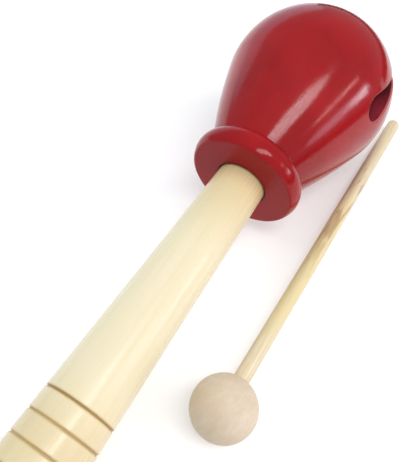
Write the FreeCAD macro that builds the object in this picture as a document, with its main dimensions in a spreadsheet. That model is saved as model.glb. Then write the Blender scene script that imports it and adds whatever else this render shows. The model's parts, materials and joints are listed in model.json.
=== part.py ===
import FreeCAD, Part
import math
import os
import Sketcher

# A hand-held wooden guiro block with its beater, lying on a table.
#
# sound_head      turned, hollowed and lacquered wood, with a collar at its open end and a slit mouth
# grooved_handle  tapered stick with scraping rings, its tenon glued into the head's bore
# beater_ball     turned wooden ball with a blind hole
# beater_stick    dowel glued into the ball
#
# Each piece is drawn on its own axis, which is local +Z. The head and the handle share the origin at
# the middle of the collar's face, with the head above it and the handle below it. The ball and the
# stick share the origin at the ball's middle. The placements at the end lay everything on z = 0.

DIMENSIONS = [
    # the head's outside
    ("bulb_radius", 32.0),
    ("bulb_height", 53.1),        # the bulb's middle above the collar's face
    ("shoulder_radius", 225.0),   # long arc from the bulb down to the collar
    ("collar_radius", 20.8),
    ("bead_radius", 6.0),         # half-round bead that forms the collar's rim
    ("bead_height", 4.0),         # the bead's middle above the collar's face
    ("quirk_radius", 17.4),       # where the shoulder runs into the bead
    ("face_round", 1.2),          # rounding between the bead and the flat face
    # the head's inside
    ("glue_gap", 0.05),
    ("bore_chamfer", 0.5),
    ("chamber_radius", 21.5),
    # the mouth: a round hole on each side, tapering into a slit over the crown
    ("mouth_end_radius", 5.0),
    ("mouth_end_drop", 6.3),      # the round end's middle below the bulb's middle
    ("slit_width", 4.4),
    ("slit_start", 7.1),          # height above the bulb's middle where the slit becomes parallel
    ("lip_round", 0.4),
    # the handle
    ("handle_radius", 9.05),      # at the collar's face
    ("butt_radius", 12.7),
    ("handle_length", 138.0),
    ("butt_round", 5.0),
    ("tenon_length", 28.0),
    ("tenon_chamfer", 1.0),
    # the scraping rings, counted from the one nearest the collar
    ("ring_first", 90.9),
    ("ring_pitch", 7.2),
    ("ring_width", 0.9),
    ("ring_depth", 0.45),
    # the beater
    ("ball_radius", 10.2),
    ("ball_hole_depth", 3.0),     # the hole's floor below the ball's middle
    ("ball_chamfer", 0.4),
    ("peg_radius", 2.3),          # the stick's thinned end, glued into the ball
    ("stick_radius", 2.6),
    ("stick_shoulder", 9.8),      # the ball's middle to where the stick has its full thickness
    ("stick_reach", 155.5),       # the ball's middle to the stick's free end
    ("stick_round", 0.4),
]
RING_COUNT = 6

# how the pieces lie on the table
MOUTH_TURN = -18.5        # degrees that the mouth is turned about the handle's axis, from level
BEATER_BACK = 119.5       # the ball's middle behind the bulb's middle
BEATER_SIDE = 33.0        # the ball's middle beside the bulb's middle
BEATER_YAW = 0.8          # degrees between the stick and the handle, seen from above

OVERCUT = 1.0             # how far a cutting profile stands outside the piece
NEAR = 0.01

doc = FreeCAD.newDocument("guiro")


# ---------------------------------------------------------------- the sheet

def make_sheet():
    """Write the driving dimensions into a spreadsheet, one aliased cell each."""
    sheet = doc.addObject("Spreadsheet::Sheet", "sizes")
    for row, (alias, value) in enumerate(DIMENSIONS, start=1):
        sheet.set("A%d" % row, alias)
        sheet.set("B%d" % row, str(value))
        sheet.setAlias("B%d" % row, alias)
    doc.recompute()
    return sheet


sizes = make_sheet()


# ---------------------------------------------------------------- helpers

def point(x, y):
    return FreeCAD.Vector(x, y, 0)


def on_axis(height):
    return FreeCAD.Vector(0, 0, height)


def new_body(label):
    body = doc.addObject("PartDesign::Body", label)
    body.Label = label
    return body


def origin_feature(body, role):
    """The body's own origin plane or axis that has this role."""
    return next(f for f in body.Origin.OriginFeatures if f.Role == role)


def new_sketch(body, name):
    """A sketch on the body's XZ plane: its x is the radius and its y is the height."""
    sketch = body.newObject("Sketcher::SketchObject", name)
    sketch.AttachmentSupport = [(origin_feature(body, "XZ_Plane"), "")]
    sketch.MapMode = "FlatFace"
    return sketch


def drive(sketch, name, formula, *constraint):
    """Add one dimension to a sketch and bind it to the sheet."""
    value = formula_value(formula)
    index = sketch.addConstraint(Sketcher.Constraint(*constraint, value))
    sketch.renameConstraint(index, name)
    sketch.setExpression("Constraints." + name, formula)


def formula_value(formula):
    """The number that a sheet formula gives now."""
    return float(sizes.evalExpression(formula))


def join(sketch, *pairs):
    """Make pairs of points coincide, each pair as (curve, end, curve, end)."""
    for pair in pairs:
        sketch.addConstraint(Sketcher.Constraint("Coincident", *pair))


def add_lines(sketch, corners):
    """Add a closed polygon and return the index of its first side."""
    first = sketch.GeometryCount
    count = len(corners)
    for i, corner in enumerate(corners):
        sketch.addGeometry(Part.LineSegment(point(*corner), point(*corners[(i + 1) % count])), False)
    for i in range(count):
        join(sketch, (first + i, 2, first + (i + 1) % count, 1))
    return first


def check_solved(sketch):
    if sketch.solve() != 0 or not sketch.FullyConstrained:
        raise RuntimeError(sketch.Name + " is not fully constrained")


def turn(body, kind, name, sketch):
    """Revolve a sketch about the body's own Z axis, adding or cutting."""
    check_solved(sketch)
    before = body.Shape.Volume if body.Tip else 0
    feature = body.newObject("PartDesign::" + kind, name)
    feature.Profile = sketch
    feature.ReferenceAxis = (origin_feature(body, "Z_Axis"), [""])
    feature.Angle = 360
    doc.recompute()
    changed = feature.Shape.Volume - before
    if (kind == "Groove") != (changed < 0):
        raise RuntimeError(name + " changed nothing")
    return feature


def dress(body, kind, name, size_property, alias, edge_test):
    """Round or chamfer the edges of the body's tip that pass a test."""
    base = body.Tip
    numbered = enumerate(base.Shape.Edges, start=1)
    names = ["Edge%d" % i for i, edge in numbered if not edge.Degenerated and edge_test(edge)]
    if not names:
        raise RuntimeError(name + " has no edges")
    feature = body.newObject("PartDesign::" + kind, name)
    feature.Base = (base, names)
    feature.setExpression(size_property, "sizes." + alias)
    doc.recompute()
    return feature


def is_ring(radius, height):
    """A test for a circular edge about the axis with this radius and height."""
    def test(edge):
        curve = edge.Curve
        if not isinstance(curve, Part.Circle):
            return False
        return abs(curve.Radius - radius) < NEAR and curve.Center.distanceToPoint(on_axis(height)) < NEAR
    return test


# ---------------------------------------------------------------- the head

def draw_head_outline(body):
    """Half of the head's outside: bulb, shoulder, bead and flat face."""
    sketch = new_sketch(body, "head_outline")
    bulb_middle = point(0, sizes.bulb_height)
    bead_middle = point(sizes.collar_radius - sizes.bead_radius, sizes.bead_height)
    join_angle = math.radians(-15)
    outward = point(math.cos(join_angle), math.sin(join_angle))
    shoulder_middle = bulb_middle - outward * (sizes.shoulder_radius - sizes.bulb_radius)
    quirk_angle = math.acos((sizes.quirk_radius - bead_middle.x) / sizes.bead_radius)
    quirk = bead_middle + point(math.cos(quirk_angle), math.sin(quirk_angle)) * sizes.bead_radius
    spoke = quirk - shoulder_middle
    face_angle = -math.asin(sizes.bead_height / sizes.bead_radius)
    face_radius = bead_middle.x + sizes.bead_radius * math.cos(face_angle)
    crown = point(0, sizes.bulb_height + sizes.bulb_radius)

    def arc(middle, radius, start, end):
        circle = Part.Circle(middle, FreeCAD.Vector(0, 0, 1), radius)
        return sketch.addGeometry(Part.ArcOfCircle(circle, start, end), False)

    bulb = arc(bulb_middle, sizes.bulb_radius, join_angle, math.pi / 2)
    shoulder = arc(shoulder_middle, sizes.shoulder_radius, math.atan2(spoke.y, spoke.x), join_angle)
    bead = arc(bead_middle, sizes.bead_radius, face_angle, quirk_angle)
    face = sketch.addGeometry(Part.LineSegment(point(0, 0), point(face_radius, 0)), False)
    axis = sketch.addGeometry(Part.LineSegment(crown, point(0, 0)), False)

    sketch.addConstraint(Sketcher.Constraint("Tangent", shoulder, 2, bulb, 1))
    join(sketch, (bead, 2, shoulder, 1), (face, 2, bead, 1), (axis, 2, face, 1), (bulb, 2, axis, 1))
    join(sketch, (face, 1, -1, 1))
    sketch.addConstraint(Sketcher.Constraint("Horizontal", face))
    sketch.addConstraint(Sketcher.Constraint("Vertical", axis))
    sketch.addConstraint(Sketcher.Constraint("PointOnObject", bulb, 3, -2))
    drive(sketch, "bulb", "sizes.bulb_radius", "Radius", bulb)
    drive(sketch, "bulb_up", "sizes.bulb_height", "DistanceY", -1, 1, bulb, 3)
    drive(sketch, "shoulder", "sizes.shoulder_radius", "Radius", shoulder)
    drive(sketch, "bead", "sizes.bead_radius", "Radius", bead)
    drive(sketch, "bead_out", "sizes.collar_radius - sizes.bead_radius", "DistanceX", -1, 1, bead, 3)
    drive(sketch, "bead_up", "sizes.bead_height", "DistanceY", -1, 1, bead, 3)
    drive(sketch, "quirk_out", "sizes.quirk_radius", "DistanceX", -1, 1, bead, 2)
    return sketch


def draw_head_hollow(body):
    """Half of the bore through the collar and of the round chamber behind it."""
    sketch = new_sketch(body, "head_hollow")
    bore = sizes.handle_radius + sizes.glue_gap
    start = -math.acos(bore / sizes.chamber_radius)
    chamber_middle = point(0, sizes.bulb_height)
    chamber_top = point(0, sizes.bulb_height + sizes.chamber_radius)
    chamber_start = chamber_middle + point(math.cos(start), math.sin(start)) * sizes.chamber_radius
    circle = Part.Circle(chamber_middle, FreeCAD.Vector(0, 0, 1), sizes.chamber_radius)
    chamber = sketch.addGeometry(Part.ArcOfCircle(circle, start, math.pi / 2), False)
    axis = sketch.addGeometry(Part.LineSegment(chamber_top, point(0, -OVERCUT)), False)
    floor = sketch.addGeometry(Part.LineSegment(point(0, -OVERCUT), point(bore, -OVERCUT)), False)
    wall = sketch.addGeometry(Part.LineSegment(point(bore, -OVERCUT), chamber_start), False)
    join(sketch, (chamber, 2, axis, 1), (axis, 2, floor, 1), (floor, 2, wall, 1), (wall, 2, chamber, 1))
    sketch.addConstraint(Sketcher.Constraint("PointOnObject", axis, 1, -2))
    sketch.addConstraint(Sketcher.Constraint("PointOnObject", axis, 2, -2))
    sketch.addConstraint(Sketcher.Constraint("PointOnObject", chamber, 3, -2))
    sketch.addConstraint(Sketcher.Constraint("Horizontal", floor))
    sketch.addConstraint(Sketcher.Constraint("Vertical", wall))
    sketch.addConstraint(Sketcher.Constraint("DistanceY", floor, 1, -1, 1, OVERCUT))
    drive(sketch, "bore", "sizes.handle_radius + sizes.glue_gap", "DistanceX", -1, 1, wall, 1)
    drive(sketch, "chamber", "sizes.chamber_radius", "Radius", chamber)
    drive(sketch, "chamber_up", "sizes.bulb_height", "DistanceY", -1, 1, chamber, 3)
    return sketch


def draw_mouth(body):
    """The mouth seen from the side: a round end, two tapering lips and a slit past the crown."""
    sketch = new_sketch(body, "mouth_outline")
    end_middle = point(0, sizes.bulb_height - sizes.mouth_end_drop)
    slit_half = sizes.slit_width / 2
    slit_height = sizes.bulb_height + sizes.slit_start
    top = sizes.bulb_height + sizes.bulb_radius + OVERCUT
    lean = math.radians(12)
    tangent = end_middle + point(math.cos(lean), math.sin(lean)) * sizes.mouth_end_radius
    circle = Part.Circle(end_middle, FreeCAD.Vector(0, 0, 1), sizes.mouth_end_radius)
    end = sketch.addGeometry(Part.ArcOfCircle(circle, math.pi - lean, 2 * math.pi + lean), False)
    path = [
        (tangent.x, tangent.y),
        (slit_half, slit_height),
        (slit_half, top),
        (-slit_half, top),
        (-slit_half, slit_height),
        (-tangent.x, tangent.y),
    ]
    sides = []
    for begin, finish in zip(path, path[1:]):
        sides.append(sketch.addGeometry(Part.LineSegment(point(*begin), point(*finish)), False))
    right_lip, right_wall, lid, left_wall, left_lip = sides
    for before, after in zip(sides, sides[1:]):
        join(sketch, (before, 2, after, 1))
    sketch.addConstraint(Sketcher.Constraint("Tangent", end, 2, right_lip, 1))
    sketch.addConstraint(Sketcher.Constraint("Tangent", left_lip, 2, end, 1))
    sketch.addConstraint(Sketcher.Constraint("Vertical", right_wall))
    sketch.addConstraint(Sketcher.Constraint("Vertical", left_wall))
    sketch.addConstraint(Sketcher.Constraint("Horizontal", lid))
    sketch.addConstraint(Sketcher.Constraint("Symmetric", right_wall, 1, left_wall, 2, -2))
    sketch.addConstraint(Sketcher.Constraint("PointOnObject", end, 3, -2))
    drive(sketch, "end", "sizes.mouth_end_radius", "Radius", end)
    drive(sketch, "end_up", "sizes.bulb_height - sizes.mouth_end_drop", "DistanceY", -1, 1, end, 3)
    drive(sketch, "slit_half", "sizes.slit_width / 2", "DistanceX", -1, 1, right_wall, 1)
    drive(sketch, "slit_up", "sizes.bulb_height + sizes.slit_start", "DistanceY", -1, 1, right_wall, 1)
    drive(sketch, "lid_up", "sizes.bulb_height + sizes.bulb_radius + %g" % OVERCUT,
          "DistanceY", -1, 1, lid, 1)
    return sketch


def cut_mouth(body):
    """Cut the mouth through both sides of the head and over its crown."""
    sketch = draw_mouth(body)
    check_solved(sketch)
    before = body.Shape.Volume
    pocket = body.newObject("PartDesign::Pocket", "mouth")
    pocket.Profile = sketch
    pocket.Type = "Length"
    pocket.SideType = "Symmetric"
    pocket.setExpression("Length", "2 * (sizes.bulb_radius + %g)" % OVERCUT)
    doc.recompute()
    if pocket.Shape.Volume >= before:
        raise RuntimeError("the mouth cut nothing")


def is_lip(edge):
    """A test for the mouth's edges on the head's outer surface."""
    bottom = sizes.bulb_height - sizes.mouth_end_drop - sizes.mouth_end_radius
    inside = FreeCAD.Vector(0, 0, sizes.bulb_height)
    for place in edge.discretize(7):
        within = abs(place.x) < sizes.mouth_end_radius + NEAR and place.z > bottom - NEAR
        outside = place.distanceToPoint(inside) > (sizes.bulb_radius + sizes.chamber_radius) / 2
        if not (within and outside):
            return False
    return True


def make_head():
    body = new_body("sound_head")
    turn(body, "Revolution", "head_turned", draw_head_outline(body))
    turn(body, "Groove", "head_hollowed", draw_head_hollow(body))
    face_angle = math.asin(sizes.bead_height / sizes.bead_radius)
    face_radius = sizes.collar_radius - sizes.bead_radius + sizes.bead_radius * math.cos(face_angle)
    dress(body, "Fillet", "face_rounded", "Radius", "face_round", is_ring(face_radius, 0))
    bore = sizes.handle_radius + sizes.glue_gap
    dress(body, "Chamfer", "bore_chamfered", "Size", "bore_chamfer", is_ring(bore, 0))
    cut_mouth(body)
    dress(body, "Fillet", "lips_rounded", "Radius", "lip_round", is_lip)
    return body


# ---------------------------------------------------------------- the handle

def draw_handle_outline(body):
    """Half of the handle: flat butt, straight taper up to the collar, and the tenon."""
    sketch = new_sketch(body, "handle_outline")
    butt, taper, tenon, end, axis = range(5)
    add_lines(sketch, [
        (0, -sizes.handle_length),
        (sizes.butt_radius, -sizes.handle_length),
        (sizes.handle_radius, 0),
        (sizes.handle_radius, sizes.tenon_length),
        (0, sizes.tenon_length),
    ])
    sketch.addConstraint(Sketcher.Constraint("Horizontal", butt))
    sketch.addConstraint(Sketcher.Constraint("Vertical", tenon))
    sketch.addConstraint(Sketcher.Constraint("Horizontal", end))
    sketch.addConstraint(Sketcher.Constraint("PointOnObject", axis, 1, -2))
    sketch.addConstraint(Sketcher.Constraint("PointOnObject", axis, 2, -2))
    sketch.addConstraint(Sketcher.Constraint("PointOnObject", tenon, 1, -1))
    drive(sketch, "length", "sizes.handle_length", "DistanceY", butt, 1, -1, 1)
    drive(sketch, "butt_out", "sizes.butt_radius", "DistanceX", -1, 1, taper, 1)
    drive(sketch, "top_out", "sizes.handle_radius", "DistanceX", -1, 1, tenon, 1)
    drive(sketch, "tenon_up", "sizes.tenon_length", "DistanceY", -1, 1, end, 1)
    return sketch


def draw_ring_cuts(body):
    """One V for each scraping ring, sunk into the taper and standing clear of it outside."""
    sketch = new_sketch(body, "ring_cuts")
    slope = (sizes.butt_radius - sizes.handle_radius) / sizes.handle_length
    for ring in range(RING_COUNT):
        down = sizes.ring_first + ring * sizes.ring_pitch
        surface = sizes.handle_radius + slope * down
        apex = add_lines(sketch, [
            (surface - sizes.ring_depth, -down),
            (surface + sizes.ring_depth, -down - sizes.ring_width),
            (surface + sizes.ring_depth, -down + sizes.ring_width),
        ])
        outer = apex + 1
        down_formula = "(sizes.ring_first + %d * sizes.ring_pitch)" % ring
        surface_formula = ("sizes.handle_radius + (sizes.butt_radius - sizes.handle_radius)"
                           " * %s / sizes.handle_length" % down_formula)
        name = "ring%d_" % ring
        sketch.addConstraint(Sketcher.Constraint("Vertical", outer))
        drive(sketch, name + "down", down_formula, "DistanceY", apex, 1, -1, 1)
        drive(sketch, name + "apex", surface_formula + " - sizes.ring_depth", "DistanceX", -1, 1, apex, 1)
        drive(sketch, name + "side", surface_formula + " + sizes.ring_depth", "DistanceX", -1, 1, outer, 1)
        drive(sketch, name + "half", "sizes.ring_width", "DistanceY", outer, 1, apex, 1)
        drive(sketch, name + "whole", "2 * sizes.ring_width", "DistanceY", outer, 1, outer, 2)
    return sketch


def make_handle():
    body = new_body("grooved_handle")
    turn(body, "Revolution", "handle_turned", draw_handle_outline(body))
    butt_edge = is_ring(sizes.butt_radius, -sizes.handle_length)
    dress(body, "Fillet", "butt_rounded", "Radius", "butt_round", butt_edge)
    tenon_edge = is_ring(sizes.handle_radius, sizes.tenon_length)
    dress(body, "Chamfer", "tenon_chamfered", "Size", "tenon_chamfer", tenon_edge)
    turn(body, "Groove", "rings", draw_ring_cuts(body))
    return body


# ---------------------------------------------------------------- the beater

def draw_ball_outline(body):
    """Half of the ball."""
    sketch = new_sketch(body, "ball_outline")
    circle = Part.Circle(point(0, 0), FreeCAD.Vector(0, 0, 1), sizes.ball_radius)
    half = sketch.addGeometry(Part.ArcOfCircle(circle, -math.pi / 2, math.pi / 2), False)
    ends = Part.LineSegment(point(0, sizes.ball_radius), point(0, -sizes.ball_radius))
    axis = sketch.addGeometry(ends, False)
    join(sketch, (half, 2, axis, 1), (axis, 2, half, 1), (half, 3, -1, 1))
    sketch.addConstraint(Sketcher.Constraint("PointOnObject", axis, 1, -2))
    sketch.addConstraint(Sketcher.Constraint("PointOnObject", axis, 2, -2))
    drive(sketch, "ball", "sizes.ball_radius", "Radius", half)
    return sketch


def draw_ball_hole(body):
    """Half of the hole for the stick's peg, from its floor to outside the ball."""
    sketch = new_sketch(body, "ball_hole")
    radius = sizes.peg_radius + sizes.glue_gap
    bottom = -sizes.ball_hole_depth
    top = sizes.ball_radius + OVERCUT
    floor, wall, lid, axis = range(4)
    add_lines(sketch, [(0, bottom), (radius, bottom), (radius, top), (0, top)])
    sketch.addConstraint(Sketcher.Constraint("Horizontal", floor))
    sketch.addConstraint(Sketcher.Constraint("Vertical", wall))
    sketch.addConstraint(Sketcher.Constraint("Horizontal", lid))
    sketch.addConstraint(Sketcher.Constraint("PointOnObject", axis, 1, -2))
    sketch.addConstraint(Sketcher.Constraint("PointOnObject", axis, 2, -2))
    drive(sketch, "radius", "sizes.peg_radius + sizes.glue_gap", "DistanceX", -1, 1, wall, 1)
    drive(sketch, "bottom", "sizes.ball_hole_depth", "DistanceY", floor, 1, -1, 1)
    drive(sketch, "top", "sizes.ball_radius + %g" % OVERCUT, "DistanceY", -1, 1, lid, 1)
    return sketch


def make_ball():
    body = new_body("beater_ball")
    turn(body, "Revolution", "ball_turned", draw_ball_outline(body))
    turn(body, "Groove", "ball_drilled", draw_ball_hole(body))
    hole_radius = sizes.peg_radius + sizes.glue_gap
    rim = math.sqrt(sizes.ball_radius ** 2 - hole_radius ** 2)
    dress(body, "Chamfer", "ball_chamfered", "Size", "ball_chamfer", is_ring(hole_radius, rim))
    return body


def draw_stick_outline(body):
    """Half of the stick: the peg, a 45 degree shoulder that sits in the ball's chamfer, and the dowel."""
    sketch = new_sketch(body, "stick_outline")
    peg, out = sizes.peg_radius, sizes.stick_radius
    bottom, shoulder, top = -sizes.ball_hole_depth, sizes.stick_shoulder, sizes.stick_reach
    floor, peg_wall, slope, wall, lid, axis = range(6)
    add_lines(sketch, [(0, bottom), (peg, bottom), (peg, shoulder - out + peg), (out, shoulder),
                       (out, top), (0, top)])
    sketch.addConstraint(Sketcher.Constraint("Horizontal", floor))
    sketch.addConstraint(Sketcher.Constraint("Vertical", peg_wall))
    sketch.addConstraint(Sketcher.Constraint("Vertical", wall))
    sketch.addConstraint(Sketcher.Constraint("Horizontal", lid))
    sketch.addConstraint(Sketcher.Constraint("PointOnObject", axis, 1, -2))
    sketch.addConstraint(Sketcher.Constraint("PointOnObject", axis, 2, -2))
    drive(sketch, "peg", "sizes.peg_radius", "DistanceX", -1, 1, peg_wall, 1)
    drive(sketch, "radius", "sizes.stick_radius", "DistanceX", -1, 1, wall, 1)
    drive(sketch, "bottom", "sizes.ball_hole_depth", "DistanceY", floor, 1, -1, 1)
    drive(sketch, "slope", "sizes.stick_radius - sizes.peg_radius", "DistanceY", slope, 1, slope, 2)
    drive(sketch, "shoulder", "sizes.stick_shoulder", "DistanceY", -1, 1, wall, 1)
    drive(sketch, "top", "sizes.stick_reach", "DistanceY", -1, 1, lid, 1)
    return sketch


def make_stick():
    body = new_body("beater_stick")
    turn(body, "Revolution", "stick_cut", draw_stick_outline(body))
    tip = is_ring(sizes.stick_radius, sizes.stick_reach)
    dress(body, "Fillet", "tip_rounded", "Radius", "stick_round", tip)
    return body


# ---------------------------------------------------------------- laying it all on the table

def lay_instrument(*bodies):
    """Rest the bulb and the butt's rounding on z = 0, with the handle towards -X."""
    slope = (sizes.butt_radius - sizes.handle_radius) / sizes.handle_length
    round_down = sizes.handle_length - sizes.butt_round
    round_out = sizes.handle_radius + slope * round_down - sizes.butt_round * math.hypot(1, slope)
    span = sizes.bulb_height + round_down
    drop = sizes.bulb_radius - sizes.butt_round
    lift = math.asin(drop / math.hypot(span, round_out)) - math.atan2(round_out, span)
    axis = FreeCAD.Vector(math.cos(lift), 0, math.sin(lift))
    up = FreeCAD.Vector(-math.sin(lift), 0, math.cos(lift))
    lying = FreeCAD.Rotation(up, FreeCAD.Vector(0, -1, 0), axis, "ZXY")
    turned = lying.multiply(FreeCAD.Rotation(FreeCAD.Vector(0, 0, 1), MOUTH_TURN))
    collar = FreeCAD.Vector(0, 0, sizes.bulb_radius) - axis * sizes.bulb_height
    for body in bodies:
        body.Placement = FreeCAD.Placement(collar, turned)


def lay_beater(*bodies):
    """Rest the ball and the stick's free end on z = 0, beside the handle."""
    drop = sizes.ball_radius - sizes.stick_radius
    dip = math.asin(drop / (sizes.stick_reach - sizes.stick_round))
    yaw = math.radians(BEATER_YAW)
    axis = FreeCAD.Vector(math.cos(dip) * math.cos(yaw), math.cos(dip) * math.sin(yaw), -math.sin(dip))
    turned = FreeCAD.Rotation(FreeCAD.Vector(0, 0, 1), axis)
    middle = FreeCAD.Vector(-BEATER_BACK, -BEATER_SIDE, sizes.ball_radius)
    for body in bodies:
        body.Placement = FreeCAD.Placement(middle, turned)


def centre(bodies):
    """Move everything so that the origin is at the bottom middle of the whole object's box."""
    box = FreeCAD.BoundBox()
    for body in bodies:
        box.add(body.Shape.optimalBoundingBox(False))
    shift = FreeCAD.Vector(-box.Center.x, -box.Center.y, -box.ZMin)
    for body in bodies:
        body.Placement = FreeCAD.Placement(body.Placement.Base + shift, body.Placement.Rotation)


def check_document(bodies):
    """Stop if any object failed or any piece is not one valid solid."""
    for item in doc.Objects:
        if "Invalid" in item.State or "Error" in item.State:
            raise RuntimeError(item.Name + " failed")
    for body in bodies:
        if body.Shape.isNull() or not body.Shape.isValid() or len(body.Shape.Solids) != 1:
            raise RuntimeError(body.Label + " is not one valid solid")


head = make_head()
handle = make_handle()
ball = make_ball()
stick = make_stick()
pieces = [head, handle, ball, stick]
lay_instrument(head, handle)
lay_beater(ball, stick)
doc.recompute()
centre(pieces)
doc.recompute()
check_document(pieces)

os.makedirs("parts", exist_ok=True)
for piece in pieces:
    piece.Shape.exportStep(os.path.join("parts", piece.Label + ".step"))
    print(piece.Label, "%.1f mm3" % piece.Shape.Volume)
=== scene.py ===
"""A hand-held wooden guiro block and its beater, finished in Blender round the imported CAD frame."""

import json
import math

import bpy
from bpy.props import FloatProperty, FloatVectorProperty, IntProperty, PointerProperty
from bpy.types import Operator, Panel, PropertyGroup
from mathutils import Matrix, Vector


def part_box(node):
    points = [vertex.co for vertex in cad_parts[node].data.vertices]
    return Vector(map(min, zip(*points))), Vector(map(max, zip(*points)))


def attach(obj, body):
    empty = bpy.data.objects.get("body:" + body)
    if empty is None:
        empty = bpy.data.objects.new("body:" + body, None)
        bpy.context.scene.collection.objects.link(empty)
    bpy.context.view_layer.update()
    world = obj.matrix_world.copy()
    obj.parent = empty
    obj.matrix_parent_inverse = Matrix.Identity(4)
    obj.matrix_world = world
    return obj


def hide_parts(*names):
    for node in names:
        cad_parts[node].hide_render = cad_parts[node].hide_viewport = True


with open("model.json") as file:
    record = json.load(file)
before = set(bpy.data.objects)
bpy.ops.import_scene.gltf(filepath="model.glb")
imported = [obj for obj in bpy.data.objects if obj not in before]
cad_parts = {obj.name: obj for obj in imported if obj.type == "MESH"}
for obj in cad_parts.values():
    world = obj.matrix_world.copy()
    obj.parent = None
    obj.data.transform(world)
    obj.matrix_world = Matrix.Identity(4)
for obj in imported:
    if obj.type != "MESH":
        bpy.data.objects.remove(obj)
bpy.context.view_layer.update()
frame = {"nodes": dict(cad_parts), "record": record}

bl_info = {
    "name": "Guiro block",
    "version": (1, 0, 0),
    "blender": (4, 5, 0),
    "location": "3D View > Sidebar > Guiro",
    "description": "Turns, cuts, lacquers and lights a wooden guiro block with its beater",
    "category": "Object",
}

MM = 0.001
FULL_TURN = 2 * math.pi
WELD = 2e-6               # points closer than this are one point
SKIN = 0.01 * MM          # the ball and the butt stay this far inside the CAD's box
SMOOTH_ANGLE = math.radians(50)    # edges sharper than this stay crisp


# ---------------------------------------------------------------- what the frame says

def mount(name):
    """Place and direction of one of the record's mounts."""
    found = next(m for m in frame["record"]["mounts"] if m["name"] == name)
    return Vector(found["pos_m"]), Vector(found["axis"]).normalized()


def half_height(node):
    """Half of a CAD node's height, which is the radius of a ball or bulb that lies on the table."""
    low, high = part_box(node)
    return (high.z - low.z) / 2


BULB_RADIUS = half_height("sound_head")
BALL_RADIUS = half_height("beater_ball")
BUTT, BUTT_OUT = mount("butt_face")
STICK_MIDDLE, STICK_OUT = mount("stick_tail")
TAIL = next(m for m in frame["record"]["mounts"] if m["name"] == "stick_tail")
STICK_RADIUS = TAIL["dims"]["r_mm"] * MM
BALL_MIDDLE = sum(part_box("beater_ball"), Vector()) / 2
MOUTH_TURN = math.radians(-18.5)    # turn of the mouth about the handle's axis


def instrument_place(handle_length):
    """Matrix from the turned piece's own frame, with its axis on Z and its collar's face at 0."""
    along = -BUTT_OUT
    side = Vector((0, -1, 0))
    up = side.cross(along)
    turned = Matrix((up, side, along)).transposed().to_4x4()
    collar = BUTT + along * handle_length
    return Matrix.Translation(collar) @ turned @ Matrix.Rotation(MOUTH_TURN, 4, "Z")


def beater_place():
    """Matrix from the beater's own frame, with the stick on Z and the ball's middle at 0."""
    middle = STICK_MIDDLE - STICK_OUT * (BALL_MIDDLE - STICK_MIDDLE).length
    return Matrix.Translation(middle) @ STICK_OUT.to_track_quat("Z", "Y").to_matrix().to_4x4()


# ---------------------------------------------------------------- outlines

def arc(middle, radius, start, end, count):
    """Points of a round stretch, from one angle in degrees to another."""
    steps = [math.radians(start + (end - start) * i / count) for i in range(count + 1)]
    return [(middle[0] + radius * math.cos(a), middle[1] + radius * math.sin(a)) for a in steps]


def line(start, end, count):
    """Evenly spaced points of a straight stretch, without its last point."""
    return [tuple(s + (e - s) * i / count for s, e in zip(start, end)) for i in range(count)]


def clean(points):
    """The points without any that repeats the one before."""
    kept = [points[0]]
    for here in points[1:]:
        if math.dist(here, kept[-1]) > WELD:
            kept.append(here)
    return kept


# ---------------------------------------------------------------- modelling helpers

def deselect_all():
    """Leave edit mode and select nothing."""
    if bpy.context.object and bpy.context.object.mode != "OBJECT":
        bpy.ops.object.mode_set(mode="OBJECT")
    bpy.ops.object.select_all(action="DESELECT")


def draw_wire(name, points):
    """A new object whose mesh is one open wire through 3D points, left in edit mode."""
    deselect_all()
    bpy.ops.mesh.primitive_plane_add(size=1 * MM, location=(0, 0, 0))
    wire = bpy.context.object
    wire.name = name
    wire.data.name = name
    bpy.ops.object.mode_set(mode="EDIT")
    bpy.ops.mesh.select_mode(type="VERT")
    bpy.ops.mesh.select_all(action="SELECT")
    bpy.ops.mesh.merge(type="CENTER")
    bpy.ops.transform.translate(value=points[0])
    for here, there in zip(points, points[1:]):
        step = Vector(there) - Vector(here)
        bpy.ops.mesh.extrude_region_move(TRANSFORM_OT_translate={"value": step})
    return wire


def tidy_skin():
    """Weld the selected object's doubles and turn its faces outwards, from edit mode."""
    bpy.ops.mesh.select_all(action="SELECT")
    bpy.ops.mesh.remove_doubles(threshold=WELD)
    bpy.ops.mesh.normals_make_consistent(inside=False)
    bpy.ops.object.mode_set(mode="OBJECT")


def lathe(name, outline, steps):
    """Turn an outline of (radius, height) points about Z into a closed skin."""
    turned = draw_wire(name, [(radius, 0, height) for radius, height in clean(outline)])
    bpy.ops.mesh.select_all(action="SELECT")
    bpy.ops.mesh.spin(steps=steps, angle=FULL_TURN, center=(0, 0, 0), axis=(0, 0, 1))
    tidy_skin()
    return turned


def settle(piece, place, body, node):
    """Smooth a finished piece, bring it to its place in the row frame and hand it to its body."""
    deselect_all()
    piece.select_set(True)
    bpy.context.view_layer.objects.active = piece
    bpy.ops.object.shade_smooth_by_angle(angle=SMOOTH_ANGLE)
    piece.matrix_world = place
    bpy.ops.object.transform_apply(location=True, rotation=True, scale=True)
    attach(piece, body)
    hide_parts(node)


# ---------------------------------------------------------------- shading helpers

# a Mix node's colour sockets share their names with its other sockets, so they go by number
MIX_FACTOR, MIX_FIRST, MIX_SECOND, MIX_RESULT = 0, 6, 7, 2
LACQUER_RELIEF, WOOD_RELIEF = 0.06 * MM, 0.10 * MM    # how deep the bumps of each look
TREE_MIDDLE = (0.004, 0.011, 0)    # how far the tree's own middle lies from a piece's axis
BALL_GRAIN = (1.1, 0.35, 0.4)      # the ball's grain runs across its hole, turned by these angles


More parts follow.
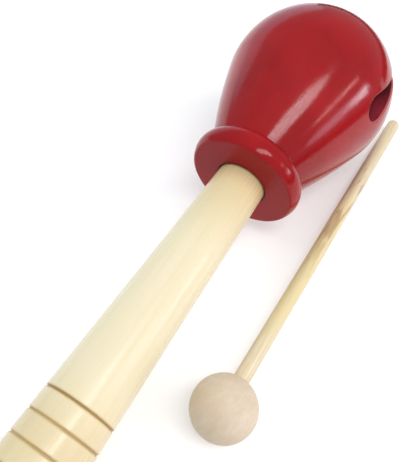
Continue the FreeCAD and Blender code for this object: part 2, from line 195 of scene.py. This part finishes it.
def add_node(tree, kind, inputs=None, **settings):
    """Add a node, set its properties, and link or set its inputs."""
    node = tree.nodes.new(kind)
    for name, value in settings.items():
        setattr(node, name, value)
    for socket, value in (inputs or {}).items():
        if isinstance(value, bpy.types.NodeSocket):
            tree.links.new(value, node.inputs[socket])
        else:
            node.inputs[socket].default_value = value
    return node


def maths(tree, operation, *values):
    """A Math node's result."""
    return add_node(tree, "ShaderNodeMath", dict(enumerate(values)), operation=operation).outputs[0]


def between(tree, value, low, high, to_low=0.0, to_high=1.0):
    """A value's smooth way from low to high."""
    settings = {"Value": value, "From Min": low, "From Max": high, "To Min": to_low, "To Max": to_high}
    return add_node(tree, "ShaderNodeMapRange", settings, interpolation_type="SMOOTHSTEP").outputs[0]


def blend_colours(tree, factor, first, second):
    """Two colours mixed."""
    mix = add_node(tree, "ShaderNodeMix", data_type="RGBA")
    for socket, value in ((MIX_FACTOR, factor), (MIX_FIRST, first), (MIX_SECOND, second)):
        if isinstance(value, bpy.types.NodeSocket):
            tree.links.new(value, mix.inputs[socket])
        else:
            mix.inputs[socket].default_value = value if socket == MIX_FACTOR else (*value[:3], 1)
    return mix.outputs[MIX_RESULT]


def noise(tree, vector, scale, detail=4.0, roughness=0.55, distortion=0.0):
    """A noise value."""
    settings = {"Vector": vector, "Scale": scale, "Detail": detail, "Roughness": roughness,
                "Distortion": distortion}
    return add_node(tree, "ShaderNodeTexNoise", settings).outputs[0]


def stretched(tree, vector, factors):
    """A vector scaled along each axis."""
    return add_node(tree, "ShaderNodeVectorMath", {0: vector, 1: factors}, operation="MULTIPLY").outputs[0]


def along_grain(tree, vector, share):
    """A vector whose pattern is drawn out along the piece's axis."""
    return stretched(tree, vector, (1, 1, share))


def darker(tint, shares):
    """A colour with its channels taken down to these shares."""
    return tuple(channel * share for channel, share in zip(tint, shares))


def new_material(name, place):
    """A material whose pattern reads the piece's own frame: returns it, its shader and that vector."""
    material = bpy.data.materials.new(name)
    material.use_nodes = True
    tree = material.node_tree
    tree.nodes.clear()
    shader = add_node(tree, "ShaderNodeBsdfPrincipled")
    output = add_node(tree, "ShaderNodeOutputMaterial")
    tree.links.new(shader.outputs[0], output.inputs[0])
    coordinates = add_node(tree, "ShaderNodeTexCoord")
    own = {"Vector": coordinates.outputs["Object"], "Location": place.to_translation(),
           "Rotation": place.to_euler()}
    own_frame = add_node(tree, "ShaderNodeMapping", own, vector_type="TEXTURE")
    return material, tree, shader, own_frame.outputs[0]


def axis_parts(tree, vector):
    """Distance from the piece's axis, and height along it."""
    parts = add_node(tree, "ShaderNodeSeparateXYZ", {0: vector}).outputs
    out = maths(tree, "SQRT", maths(tree, "ADD", maths(tree, "MULTIPLY", parts[0], parts[0]),
                                    maths(tree, "MULTIPLY", parts[1], parts[1])))
    return out, parts[2]


def bump(tree, shader, height, strength, distance):
    """Give the shader a bump from a height value."""
    settings = {"Height": height, "Strength": strength, "Distance": distance}
    made = add_node(tree, "ShaderNodeBump", settings)
    tree.links.new(made.outputs[0], shader.inputs["Normal"])


# ---------------------------------------------------------------- settings

def length(name, description, default):
    """A length's setting, in metres."""
    return FloatProperty(name=name, description=description, default=default, min=0, unit="LENGTH",
                         precision=5)


def colour(name, description, default):
    """A colour's setting."""
    return FloatVectorProperty(name=name, description=description, default=default, size=3, min=0,
                               max=1, subtype="COLOR")


class HeadSettings(PropertyGroup):
    """Places and colours of the sounding head's finish"""
    bulb_radius: length("Bulb radius", "Radius of the round bulb", BULB_RADIUS)
    bulb_height: length("Bulb height", "The bulb's middle above the collar's face", 53.1 * MM)
    bead_height: length("Bead height", "The bead's middle above the face", 4 * MM)
    quirk_rise: length("Quirk rise", "The quirk's corner above the bead's middle", 5.4 * MM)
    bore_radius: length("Bore radius", "Hole for the handle's tenon", 9.1 * MM)
    lacquer: colour("Lacquer", "Colour of the red lacquer", (0.315, 0.0085, 0.0105))
    face: colour("Face", "Brownish red of the collar's face", (0.31, 0.011, 0.014))
    inner: colour("Inside", "Stained bare wood inside the mouth", (0.29, 0.026, 0.042))
    # lighter colour of the rubbed lips, partly a painted edge highlight
    worn_and_highlit: colour("Worn lip", "Lacquer rubbed thin on the lips", (0.60, 0.16, 0.15))
    # This colour is the dark red-brown of pits and of the ring round the bore, and also serves as painted
    # shade in the quirk and at the mouth's upper end inside.
    grime_and_shade: colour("Grime", "Dark red-brown of pits and corners", (0.060, 0.008, 0.008))


class HandleSettings(PropertyGroup):
    """Sizes and finish of the ringed handle"""
    top_radius: length("Top radius", "Radius at the collar's face", 9.05 * MM)
    butt_radius: length("Butt radius", "Radius at the butt", 12.7 * MM)
    handle_length: length("Length", "From the collar's face to the butt", 138 * MM)
    butt_round: length("Butt rounding", "Rounding of the butt's edge", 5 * MM)
    tenon_length: length("Tenon length", "Part glued into the head", 28 * MM)
    ring_first: length("First ring", "Nearest scraping ring to the collar", 90.9 * MM)
    ring_pitch: length("Ring pitch", "Distance from ring to ring", 7.2 * MM)
    ring_depth: length("Ring depth", "Depth of each ring", 0.45 * MM)
    ring_half: length("Ring half width", "Half the width of each ring", 0.45 * MM)
    ring_count: IntProperty(name="Rings", description="Number of rings", default=6, min=1)
    wood: colour("Wood", "Colour of the pale wood", (0.75, 0.68, 0.475))
    warm: colour("Warm wood", "Warmer patches of the wood", (0.70, 0.61, 0.395))
    # darker, warmer wood: painted shade under the head near the collar, and a tint towards the grip
    collar_shade_and_grip_tint: colour("Aged wood", "Wood darkened near the collar and the grip", (0.60, 0.47, 0.24))
    burn: colour("Burn", "Colour of the burnt rings", (0.23, 0.130, 0.024))
    amber: colour("Amber", "Golden edge of the burnt rings", (0.56, 0.35, 0.11))
    glue: colour("Glue line", "Stain where the handle leaves the collar", (0.34, 0.17, 0.07))
    steps: IntProperty(name="Steps", description="Facets round the handle", default=128, min=24)


class BeaterSettings(PropertyGroup):
    """Sizes and finish of the beater"""
    ball_radius: length("Ball radius", "Radius of the ball", BALL_RADIUS - SKIN)
    hole_depth: length("Hole depth", "The hole's floor below the ball's middle", 3 * MM)
    glue_gap: length("Glue gap", "Room for glue round the peg", 0.05 * MM)
    hole_chamfer: length("Hole chamfer", "Chamfer at the ball's hole", 0.3 * MM)
    peg_radius: length("Peg radius", "Radius of the stick's glued end", 2.3 * MM)
    shoulder: length("Shoulder", "The ball's middle to the stick's full thickness", 9.8 * MM)
    stick_radius: length("Stick radius", "Radius of the dowel", STICK_RADIUS)
    stick_reach: length("Stick reach", "The ball's middle to the stick's end", 155.5 * MM)
    tip_round: length("Tip rounding", "Rounding of the stick's free end", 0.4 * MM)
    ball_wood: colour("Ball wood", "Colour of the ball", (0.64, 0.545, 0.42))
    ball_warm: colour("Warm ball wood", "Warmer patches of the ball", (0.58, 0.455, 0.315))
    stick_wood: colour("Stick wood", "Colour of the stick", (0.73, 0.65, 0.48))
    stick_yellow: colour("Stick yellow", "Yellower middle of the stick", (0.68, 0.57, 0.30))
    streak: colour("Streak", "Brown streaks in the stick", (0.34, 0.20, 0.09))
    steps: IntProperty(name="Steps", description="Facets round the beater", default=96, min=24)


class StageSettings(PropertyGroup):
    """Floor, light and camera"""
    floor_size: length("Floor size", "Side of the square floor", 6.0)
    floor_colour: colour("Floor colour", "Colour of the floor", (0.70, 0.70, 0.70))
    floor_glow: FloatProperty(name="Floor glow", default=0.30,
                              description="Light from under the table's sheet, which keeps shadows pale")
    camera_place: FloatVectorProperty(name="Camera place", description="Where the camera stands",
                                      default=(-0.0955, -0.0525, 0.1674), unit="LENGTH")
    camera_aim: FloatVectorProperty(name="Camera aim", description="What the camera looks at",
                                    default=(0.0097, 0.0131, 0.0106), unit="LENGTH")
    lens: FloatProperty(name="Lens", description="Focal length in millimetres", default=42.8)
    sky: FloatProperty(name="Sky", description="Strength of the light all round", default=0.38)
    sky_colour: colour("Sky colour", "Colour of the light all round", (0.88, 0.93, 1.0))


# ---------------------------------------------------------------- the head

class GUIRO_OT_head(Operator):
    """Lacquer the turned, hollowed and sawn head, which is the CAD node itself"""
    bl_idname = "guiro.head"
    bl_label = "Sounding head"

    def execute(self, context):
        head = context.scene.guiro_head
        place = instrument_place(context.scene.guiro_handle.handle_length)
        shell = frame["nodes"]["sound_head"]
        shell.material_slots[0].material = lacquer_material(head, place)
        return {"FINISHED"}


# ---------------------------------------------------------------- materials

def lacquer_material(head, place):
    """Glossy red lacquer over turned wood, with rubbed lips partly lightened as a painted edge highlight,
    bare stained wood inside, and painted shade in the quirk and the mouth's upper end.
    """
    material, tree, shader, own = new_material("red_lacquer", place)
    radius, height = axis_parts(tree, own)
    bulb_middle = add_node(tree, "ShaderNodeVectorMath", {0: own, 1: (0, 0, -head.bulb_height)})
    from_bulb = add_node(tree, "ShaderNodeVectorMath", {0: bulb_middle.outputs[0]}, operation="LENGTH")
    depth = maths(tree, "SUBTRACT", head.bulb_radius, from_bulb.outputs["Value"])
    inside = between(tree, depth, 0.55 * MM, 0.85 * MM)
    lip = maths(tree, "MULTIPLY", between(tree, depth, 0.06 * MM, 0.14 * MM),
                between(tree, depth, 0.80 * MM, 0.50 * MM))
    # painted shade: the quirk's crease is darkened, as shade falls there
    quirk_away = maths(tree, "ABSOLUTE", maths(tree, "SUBTRACT", height, head.bead_height + head.quirk_rise))
    quirk = between(tree, quirk_away, 0.45 * MM, 0.1 * MM)
    face = between(tree, height, 0.5 * MM, 0.2 * MM)
    glue = maths(tree, "MULTIPLY", face, between(tree, radius, head.bore_radius + 0.9 * MM,
                                                 head.bore_radius + 0.5 * MM))

    # colour: cloudy lacquer, specks, the duller face, painted shade in the quirk, stained wood inside with
    # painted shade towards the mouth's upper end, and rubbed lips lightened partly as a painted edge
    # highlight
    deep = darker(head.lacquer, (0.80, 0.80, 0.80))
    cloud = between(tree, noise(tree, own, 38, 3), 0.35, 0.65)
    colour_now = blend_colours(tree, cloud, head.lacquer, deep)
    grain = noise(tree, along_grain(tree, own, 0.05), 850, 3)
    colour_now = blend_colours(tree, between(tree, grain, 0.55, 0.8, 0, 0.35), colour_now, deep)
    pits = pit_mask(tree, own)
    for mask, share, tint in ((pits, 0.7, head.grime_and_shade), (face, 0.55, head.face), (quirk, 0.6, head.grime_and_shade)):
        colour_now = blend_colours(tree, maths(tree, "MULTIPLY", mask, share), colour_now, tint)
    stain = noise(tree, along_grain(tree, own, 0.08), 1100, 3)
    inner = blend_colours(tree, between(tree, stain, 0.4, 0.8, 0, 0.5), head.inner, head.grime_and_shade)
    # painted shade: the inside of the mouth darkens towards its upper end
    painted_crown_shade = between(tree, height, head.bulb_height - 2 * MM, head.bulb_height + 9 * MM, 0, 0.85)
    inner = blend_colours(tree, painted_crown_shade, inner, head.grime_and_shade)
    colour_now = blend_colours(tree, inside, colour_now, inner)
    # the rubbed lips are lightened in colour, partly as a painted edge highlight
    for mask, share, tint in ((lip, 0.80, head.worn_and_highlit), (glue, 0.7, head.grime_and_shade)):
        colour_now = blend_colours(tree, maths(tree, "MULTIPLY", mask, share), colour_now, tint)
    tree.links.new(colour_now, shader.inputs["Base Color"])

    # shine: smudged gloss, duller on the face and inside, and fine dust in its strength
    smudge = noise(tree, own, 95, 4)
    gloss = between(tree, smudge, 0.3, 0.75, 0.11, 0.18)
    gloss = maths(tree, "ADD", gloss, maths(tree, "MULTIPLY", face, 0.16))
    gloss = maths(tree, "ADD", gloss, maths(tree, "MULTIPLY", inside, 0.45))
    tree.links.new(gloss, shader.inputs["Roughness"])
    shader.inputs["IOR"].default_value = 1.42
    dull = maths(tree, "MAXIMUM", between(tree, height, head.bead_height + 5 * MM, head.bead_height, 0, 0.5),
                 maths(tree, "MAXIMUM", face, inside))
    dust = between(tree, noise(tree, own, 1300, 3), 0.34, 0.62, 0.72, 1.12)
    shine = maths(tree, "MULTIPLY", between(tree, dull, 0, 1, 0.50, 0.24), dust)
    tree.links.new(shine, shader.inputs["Specular IOR Level"])

    # relief: brushed lacquer, turning marks round the axis and sunken specks
    peel = maths(tree, "MULTIPLY", noise(tree, own, 850, 4, 0.7), 0.6)
    turning = noise(tree, stretched(tree, own, (0.04, 0.04, 1)), 900, 2)
    relief = maths(tree, "ADD", peel, maths(tree, "MULTIPLY", turning, 0.35))
    relief = maths(tree, "SUBTRACT", relief, maths(tree, "MULTIPLY", pits, 0.8))
    bump(tree, shader, relief, 0.50, LACQUER_RELIEF)
    return material


def matt_material(name, tint):
    """A plain matt surface for the stage."""
    material = bpy.data.materials.new(name)
    material.use_nodes = True
    shader = material.node_tree.nodes["Principled BSDF"]
    shader.inputs["Base Color"].default_value = (*tint, 1)
    shader.inputs["Roughness"].default_value = 0.9
    return material


def pit_mask(tree, vector):
    """A few specks, where the lacquer sank into the wood's pores."""
    specks = between(tree, noise(tree, vector, 900, 2), 0.70, 0.76)
    return maths(tree, "MULTIPLY", specks, between(tree, noise(tree, vector, 75, 2), 0.50, 0.60))


def wood_grain(tree, own, fibre, figure):
    """Two grain values along the piece's axis: fine fibres, and the broad figure of the year rings."""
    fibres = noise(tree, along_grain(tree, own, 0.035), fibre, 4, 0.6)
    bent = noise(tree, along_grain(tree, own, 0.25), 45, 2)
    shifted = add_node(tree, "ShaderNodeVectorMath", {0: own, 1: TREE_MIDDLE})
    across = add_node(tree, "ShaderNodeSeparateXYZ", {0: shifted.outputs[0]}).outputs
    flat = maths(tree, "ADD", across[0], maths(tree, "MULTIPLY", bent, 0.004))
    wave = maths(tree, "SINE", maths(tree, "MULTIPLY", flat, figure))
    return fibres, between(tree, wave, -0.6, 1.0)


HANDLE_TINTS_AND_SHADE = (
    # height where it starts, height where it is full, how strong, and its colour's setting
    # painted shade under the head, towards the collar
    (-38 * MM, 2 * MM, 0.85, "collar_shade_and_grip_tint"),            # towards the collar
    # darker and warmer towards the grip
    (-80 * MM, -104 * MM, 0.50, "collar_shade_and_grip_tint"),         # towards the grip
    (-0.55 * MM, -0.1 * MM, 0.75, "glue"),       # the glue line itself
)


def handle_material(handle, place):
    """Pale satin wood with lengthwise fibres and burnt rings."""
    material, tree, shader, own = new_material("pale_satin_wood", place)
    radius, height = axis_parts(tree, own)
    fibres, figure = wood_grain(tree, own, 900, 1500)
    light, dark = handle.wood, darker(handle.wood, (0.90, 0.86, 0.76))
    colour_now = blend_colours(tree, between(tree, fibres, 0.35, 0.70, 0, 0.45), light, dark)
    colour_now = blend_colours(tree, maths(tree, "MULTIPLY", figure, 0.12), colour_now, dark)
    cloud = noise(tree, along_grain(tree, own, 0.3), 40, 3)
    colour_now = blend_colours(tree, between(tree, cloud, 0.45, 0.75, 0, 0.35), colour_now, handle.warm)

    count_down = maths(tree, "DIVIDE", maths(tree, "SUBTRACT", maths(tree, "MULTIPLY", height, -1.0),
                                             handle.ring_first), handle.ring_pitch)
    nearest = maths(tree, "MINIMUM", maths(tree, "MAXIMUM", maths(tree, "ROUND", count_down), 0.0),
                    handle.ring_count - 1.0)
    away = maths(tree, "MULTIPLY", maths(tree, "ABSOLUTE", maths(tree, "SUBTRACT", count_down, nearest)),
                 handle.ring_pitch)
    ragged = between(tree, noise(tree, own, 260, 3), 0.2, 0.8, -0.10 * MM, 0.10 * MM)
    burnt = between(tree, maths(tree, "ADD", away, ragged), handle.ring_half * 1.25, handle.ring_half * 0.45)
    strength = between(tree, noise(tree, own, 130, 3), 0.25, 0.7, 0.70, 1.0)
    scorched = between(tree, away, handle.ring_half * 2.4, handle.ring_half * 0.9, 0, 0.50)
    colour_now = blend_colours(tree, scorched, colour_now, handle.amber)
    colour_now = blend_colours(tree, maths(tree, "MULTIPLY", burnt, strength), colour_now, handle.burn)

    for start, end, most, tint in HANDLE_TINTS_AND_SHADE:
        stain = between(tree, height, start, end, 0, most)
        colour_now = blend_colours(tree, stain, colour_now, getattr(handle, tint))
    butt = between(tree, height, -handle.handle_length + 0.7 * MM, -handle.handle_length + 0.1 * MM)
    rings = maths(tree, "SINE", maths(tree, "MULTIPLY", maths(tree, "ADD", radius, maths(
        tree, "MULTIPLY", cloud, 0.002)), 5200.0))
    end_grain = blend_colours(tree, between(tree, rings, -0.5, 1), dark, handle.warm)
    colour_now = blend_colours(tree, maths(tree, "MULTIPLY", butt, 0.7), colour_now, end_grain)
    tree.links.new(colour_now, shader.inputs["Base Color"])

    satin = between(tree, fibres, 0.3, 0.75, 0.22, 0.38)
    satin = maths(tree, "ADD", satin, maths(tree, "MULTIPLY", burnt, 0.3))
    tree.links.new(satin, shader.inputs["Roughness"])
    shader.inputs["IOR"].default_value = 1.48
    relief = maths(tree, "ADD", maths(tree, "MULTIPLY", fibres, 0.8), maths(tree, "MULTIPLY", figure, 0.3))
    bump(tree, shader, relief, 0.35, WOOD_RELIEF)
    return material


def ball_material(beater, place):
    """Pinkish close-grained wood, sanded matt, with its grain across the hole."""
    material, tree, shader, own = new_material("matt_pink_wood", place)
    turned = add_node(tree, "ShaderNodeMapping", {"Vector": own, "Rotation": BALL_GRAIN}).outputs[0]
    fibres, figure = wood_grain(tree, turned, 900, 1300)
    light, dark = beater.ball_wood, darker(beater.ball_wood, (0.86, 0.80, 0.72))
    colour_now = blend_colours(tree, between(tree, fibres, 0.3, 0.7, 0, 0.45), light, dark)
    colour_now = blend_colours(tree, maths(tree, "MULTIPLY", figure, 0.22), colour_now, dark)
    cloud = noise(tree, turned, 110, 3)
    colour_now = blend_colours(tree, between(tree, cloud, 0.42, 0.64, 0, 0.65), colour_now, beater.ball_warm)
    rays = noise(tree, stretched(tree, turned, (1, 0.4, 0.12)), 1500, 2)
    colour_now = blend_colours(tree, between(tree, rays, 0.62, 0.75, 0, 0.35), colour_now, dark)
    tree.links.new(colour_now, shader.inputs["Base Color"])
    tree.links.new(between(tree, fibres, 0.3, 0.7, 0.50, 0.64), shader.inputs["Roughness"])
    shader.inputs["IOR"].default_value = 1.45
    bump(tree, shader, fibres, 0.35, WOOD_RELIEF)
    return material


def stick_material(beater, place):
    """Yellowish straight-grained dowel with brown streaks towards its free end."""
    material, tree, shader, own = new_material("streaked_dowel_wood", place)
    height = axis_parts(tree, own)[1]
    fibres, figure = wood_grain(tree, own, 1900, 2600)
    light, dark = beater.stick_wood, darker(beater.stick_wood, (0.84, 0.78, 0.62))
    colour_now = blend_colours(tree, between(tree, fibres, 0.3, 0.7), light, dark)
    colour_now = blend_colours(tree, maths(tree, "MULTIPLY", figure, 0.35), colour_now, dark)
    yellow = maths(tree, "MULTIPLY", between(tree, height, 18 * MM, 40 * MM),
                   between(tree, height, 108 * MM, 84 * MM, 0, 0.8))
    colour_now = blend_colours(tree, yellow, colour_now, beater.stick_yellow)
    streaks = noise(tree, along_grain(tree, own, 0.10), 620, 3, 0.6, 0.3)
    near = maths(tree, "MULTIPLY", between(tree, height, 48 * MM, 84 * MM),
                 between(tree, height, 132 * MM, 108 * MM))
    brown = maths(tree, "MULTIPLY", near, between(tree, streaks, 0.46, 0.66))
    colour_now = blend_colours(tree, maths(tree, "MULTIPLY", brown, 0.68), colour_now, beater.streak)
    tree.links.new(colour_now, shader.inputs["Base Color"])
    tree.links.new(between(tree, fibres, 0.3, 0.7, 0.50, 0.66), shader.inputs["Roughness"])
    shader.inputs["IOR"].default_value = 1.45
    bump(tree, shader, fibres, 0.45, WOOD_RELIEF)
    return material


# ---------------------------------------------------------------- the handle

# one ring's section as shares of its half width and of its depth, from the butt's side upwards
RING_SECTION = ((1.7, 0), (1.25, 0.03), (0.85, 0.25), (0.25, 0.9), (0, 1),
                (-0.25, 0.9), (-0.85, 0.25), (-1.25, 0.03), (-1.7, 0))
TENON_CHAMFER = 1 * MM


def handle_outline(handle):
    """The handle's section: butt, taper with its rings, and tenon."""
    slope = (handle.butt_radius - handle.top_radius) / handle.handle_length
    lean = math.degrees(math.atan(slope))

    def surface(down):
        return handle.top_radius + slope * down

    butt = handle.handle_length - SKIN
    turn_down = butt - handle.butt_round
    turn_out = surface(turn_down) - handle.butt_round * math.hypot(1, slope)
    points = line((0, -butt), (turn_out, -butt), count=6)
    points += arc((turn_out, -turn_down), handle.butt_round, -90, -lean, count=14)
    for ring in reversed(range(handle.ring_count)):
        down = handle.ring_first + ring * handle.ring_pitch
        for share, depth in RING_SECTION:
            at = down + share * handle.ring_half
            points.append((surface(at) - depth * handle.ring_depth, -at))
    clear = 3 * handle.ring_half      # the plain taper starts this far past the first ring
    plain_end = -handle.ring_first + clear
    points += line((surface(-plain_end), plain_end), (handle.top_radius, 0), count=24)
    tenon_straight = handle.tenon_length - TENON_CHAMFER
    points += line((handle.top_radius, 0), (handle.top_radius, tenon_straight), count=5)
    points += [(handle.top_radius, tenon_straight),
               (handle.top_radius - TENON_CHAMFER, handle.tenon_length), (0, handle.tenon_length)]
    return points


class GUIRO_OT_handle(Operator):
    """Turn the handle, cut its rings and finish its wood"""
    bl_idname = "guiro.handle"
    bl_label = "Ringed handle"

    def execute(self, context):
        handle = context.scene.guiro_handle
        piece = lathe("ringed_handle", handle_outline(handle), handle.steps)
        place = instrument_place(handle.handle_length)
        piece.data.materials.append(handle_material(handle, place))
        settle(piece, place, "instrument", "grooved_handle")
        return {"FINISHED"}


# ---------------------------------------------------------------- the beater

def ball_outline(beater):
    """The ball's section: its round, the hole's chamfer, wall and floor."""
    hole = beater.peg_radius + beater.glue_gap
    mouth = math.degrees(math.acos((hole + beater.hole_chamfer) / beater.ball_radius))
    rim = beater.ball_radius * math.sin(math.radians(mouth))
    points = arc((0, 0), beater.ball_radius, -90, mouth, count=80)
    points += [(hole, rim - beater.hole_chamfer), (hole, -beater.hole_depth), (0, -beater.hole_depth)]
    return points


def stick_outline(beater):
    """The stick's section: peg, sloped shoulder, dowel and rounded tip."""
    peg, out, tip = beater.peg_radius, beater.stick_radius, beater.tip_round
    points = [(0, -beater.hole_depth), (peg, -beater.hole_depth), (peg, beater.shoulder - out + peg)]
    points += line((out, beater.shoulder), (out, beater.stick_reach - tip), count=40)
    points += arc((out - tip, beater.stick_reach - tip), tip, 0, 90, count=5)
    return points + [(0, beater.stick_reach)]


class GUIRO_OT_ball(Operator):
    """Turn and drill the beater's ball"""
    bl_idname = "guiro.ball"
    bl_label = "Beater ball"

    def execute(self, context):
        beater = context.scene.guiro_beater
        piece = lathe("turned_ball", ball_outline(beater), beater.steps)
        place = beater_place()
        piece.data.materials.append(ball_material(beater, place))
        settle(piece, place, "beater", "beater_ball")
        return {"FINISHED"}


class GUIRO_OT_stick(Operator):
    """Cut the beater's dowel, thin its glued end and round its free end"""
    bl_idname = "guiro.stick"
    bl_label = "Beater stick"

    def execute(self, context):
        beater = context.scene.guiro_beater
        piece = lathe("dowel_stick", stick_outline(beater), beater.steps)
        place = beater_place()
        piece.data.materials.append(stick_material(beater, place))
        settle(piece, place, "beater", "beater_stick")
        return {"FINISHED"}


# ---------------------------------------------------------------- the stage

SHINE, SOFT = True, False     # a light that shows in the lacquer, and one that only lights
LIGHTS = [
    # name, direction from the head, distance, size across and upwards, shape, brightness, kind, colour
    ("overhead_window", (-0.250, -0.380, 0.890), 0.9, (0.66, 0.27), "ELLIPSE", 5.8, SHINE, (1, 0.99, 1)),
    ("edge_strip", (0.090, -0.860, 0.494), 0.9, (0.28, 0.026), "RECTANGLE", 18.0, SHINE, (1, 0.62, 0.60)),
    ("low_window", (0.290, -0.930, 0.215), 0.9, (0.16, 0.15), "ELLIPSE", 9.2, SHINE, (0.95, 0.88, 1)),
    ("low_glow", (0.080, -0.970, 0.215), 0.9, (0.30, 0.17), "ELLIPSE", 3.0, SHINE, (1, 0.80, 0.95)),
    ("cool_window", (0.650, 0.740, 0.170), 1.6, (1.90, 0.90), "ELLIPSE", 0.52, SHINE, (0.5, 0.78, 1)),
    ("side_fill", (0.100, -0.800, 0.590), 1.6, (1.30, 0.90), "RECTANGLE", 2.55, SOFT, (1, 0.99, 0.97)),
    ("far_fill", (0.100, 0.850, 0.520), 1.6, (1.30, 0.90), "RECTANGLE", 3.0, SOFT, (0.97, 0.98, 1)),
    ("top_fill", (0.000, 0.100, 1.000), 1.7, (1.50, 1.50), "RECTANGLE", 0.95, SOFT, (0.98, 0.99, 1)),
]
CARDS = [
    # name, middle of its foot, width, height, turn about Z in degrees
    ("dark_card_near", (0.075, -0.215), 0.36, 0.040, 0),
    ("dark_card_far", (0.300, -0.060), 0.30, 0.048, 90),
]


class GUIRO_OT_stage(Operator):
    """Lay the floor, place the lights and set up the camera"""
    bl_idname = "guiro.stage"
    bl_label = "Stage"
    black = (0.02, 0.012, 0.012)
    sensor_width = 36         # millimetres, as the lens
    nearest_seen = 0.005

    def execute(self, context):
        stage = context.scene.guiro_stage
        self.lay_floor(stage)
        self.stand_cards()
        self.place_lights()
        self.light_sky(context, stage)
        self.set_camera(context, stage)
        return {"FINISHED"}

    def lay_floor(self, stage):
        deselect_all()
        bpy.ops.mesh.primitive_plane_add(size=stage.floor_size, location=(0, 0, 0))
        floor = bpy.context.object
        floor.name = "floor"
        sheet = matt_material("pale_floor", stage.floor_colour)
        shader = sheet.node_tree.nodes["Principled BSDF"]
        shader.inputs["Emission Color"].default_value = (1, 1, 1, 1)
        shader.inputs["Emission Strength"].default_value = stage.floor_glow
        floor.data.materials.append(sheet)

    def stand_cards(self):
        """Low dark cards that only the lacquer reflects, as the dark room past a table's edge."""
        for name, foot, width, height, turn in CARDS:
            deselect_all()
            bpy.ops.mesh.primitive_plane_add(size=1, location=(*foot, height / 2),
                                             rotation=(math.pi / 2, 0, math.radians(turn)))
            card = bpy.context.object
            card.name = name
            card.scale = (width, height, 1)
            bpy.ops.object.transform_apply(location=True, rotation=True, scale=True)
            card.data.materials.append(matt_material("card_black", self.black))
            for ray in ("camera", "diffuse", "transmission", "shadow"):
                setattr(card, "visible_" + ray, False)

    def place_lights(self):
        head = sum(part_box("sound_head"), Vector()) / 2
        for name, direction, distance, size, shape, brightness, kind, tint in LIGHTS:
            deselect_all()
            away = Vector(direction).normalized()
            bpy.ops.object.light_add(type="AREA", location=head + away * distance)
            lamp = bpy.context.object
            lamp.name = name
            lamp.data.shape = shape
            lamp.data.size, lamp.data.size_y = size
            lamp.data.energy = brightness * math.pi * size[0] * size[1]
            lamp.data.color = tint
            lamp.rotation_euler = away.to_track_quat("Z", "Y").to_euler()
            lamp.visible_glossy = kind is SHINE

    def light_sky(self, context, stage):
        world = bpy.data.worlds.new("studio")
        context.scene.world = world
        world.use_nodes = True
        background = world.node_tree.nodes["Background"]
        background.inputs["Color"].default_value = (*stage.sky_colour, 1)
        background.inputs["Strength"].default_value = stage.sky

    def set_camera(self, context, stage):
        deselect_all()
        bpy.ops.object.camera_add(location=stage.camera_place)
        camera = bpy.context.object
        camera.name = "camera"
        look = Vector(stage.camera_aim) - Vector(stage.camera_place)
        camera.rotation_euler = look.to_track_quat("-Z", "Y").to_euler()
        camera.data.lens = stage.lens
        camera.data.sensor_width = self.sensor_width
        camera.data.clip_start = self.nearest_seen
        context.scene.camera = camera
        context.scene.view_settings.view_transform = "Standard"


# ---------------------------------------------------------------- the sidebar and the run

class GUIRO_PT_workshop(Panel):
    """The guiro block's pieces, in the order they are made"""
    bl_label = "Guiro block"
    bl_idname = "GUIRO_PT_workshop"
    bl_space_type = "VIEW_3D"
    bl_region_type = "UI"
    bl_category = "Guiro"

    def draw(self, context):
        for step in STEPS:
            self.layout.operator(step.bl_idname)


STEPS = (GUIRO_OT_stage, GUIRO_OT_head, GUIRO_OT_handle, GUIRO_OT_ball, GUIRO_OT_stick)
SETTINGS = {
    "guiro_head": HeadSettings,
    "guiro_handle": HandleSettings,
    "guiro_beater": BeaterSettings,
    "guiro_stage": StageSettings,
}


def register():
    for group in (*SETTINGS.values(), *STEPS, GUIRO_PT_workshop):
        bpy.utils.register_class(group)
    for name, group in SETTINGS.items():
        setattr(bpy.types.Scene, name, PointerProperty(type=group))


def unregister():
    for name in SETTINGS:
        delattr(bpy.types.Scene, name)
    for group in reversed((*SETTINGS.values(), *STEPS, GUIRO_PT_workshop)):
        bpy.utils.unregister_class(group)


def main():
    """Make every piece in order."""
    register()
    bpy.ops.guiro.stage()
    bpy.ops.guiro.head()
    bpy.ops.guiro.handle()
    bpy.ops.guiro.ball()
    bpy.ops.guiro.stick()


if __name__ == "__main__":
    main()
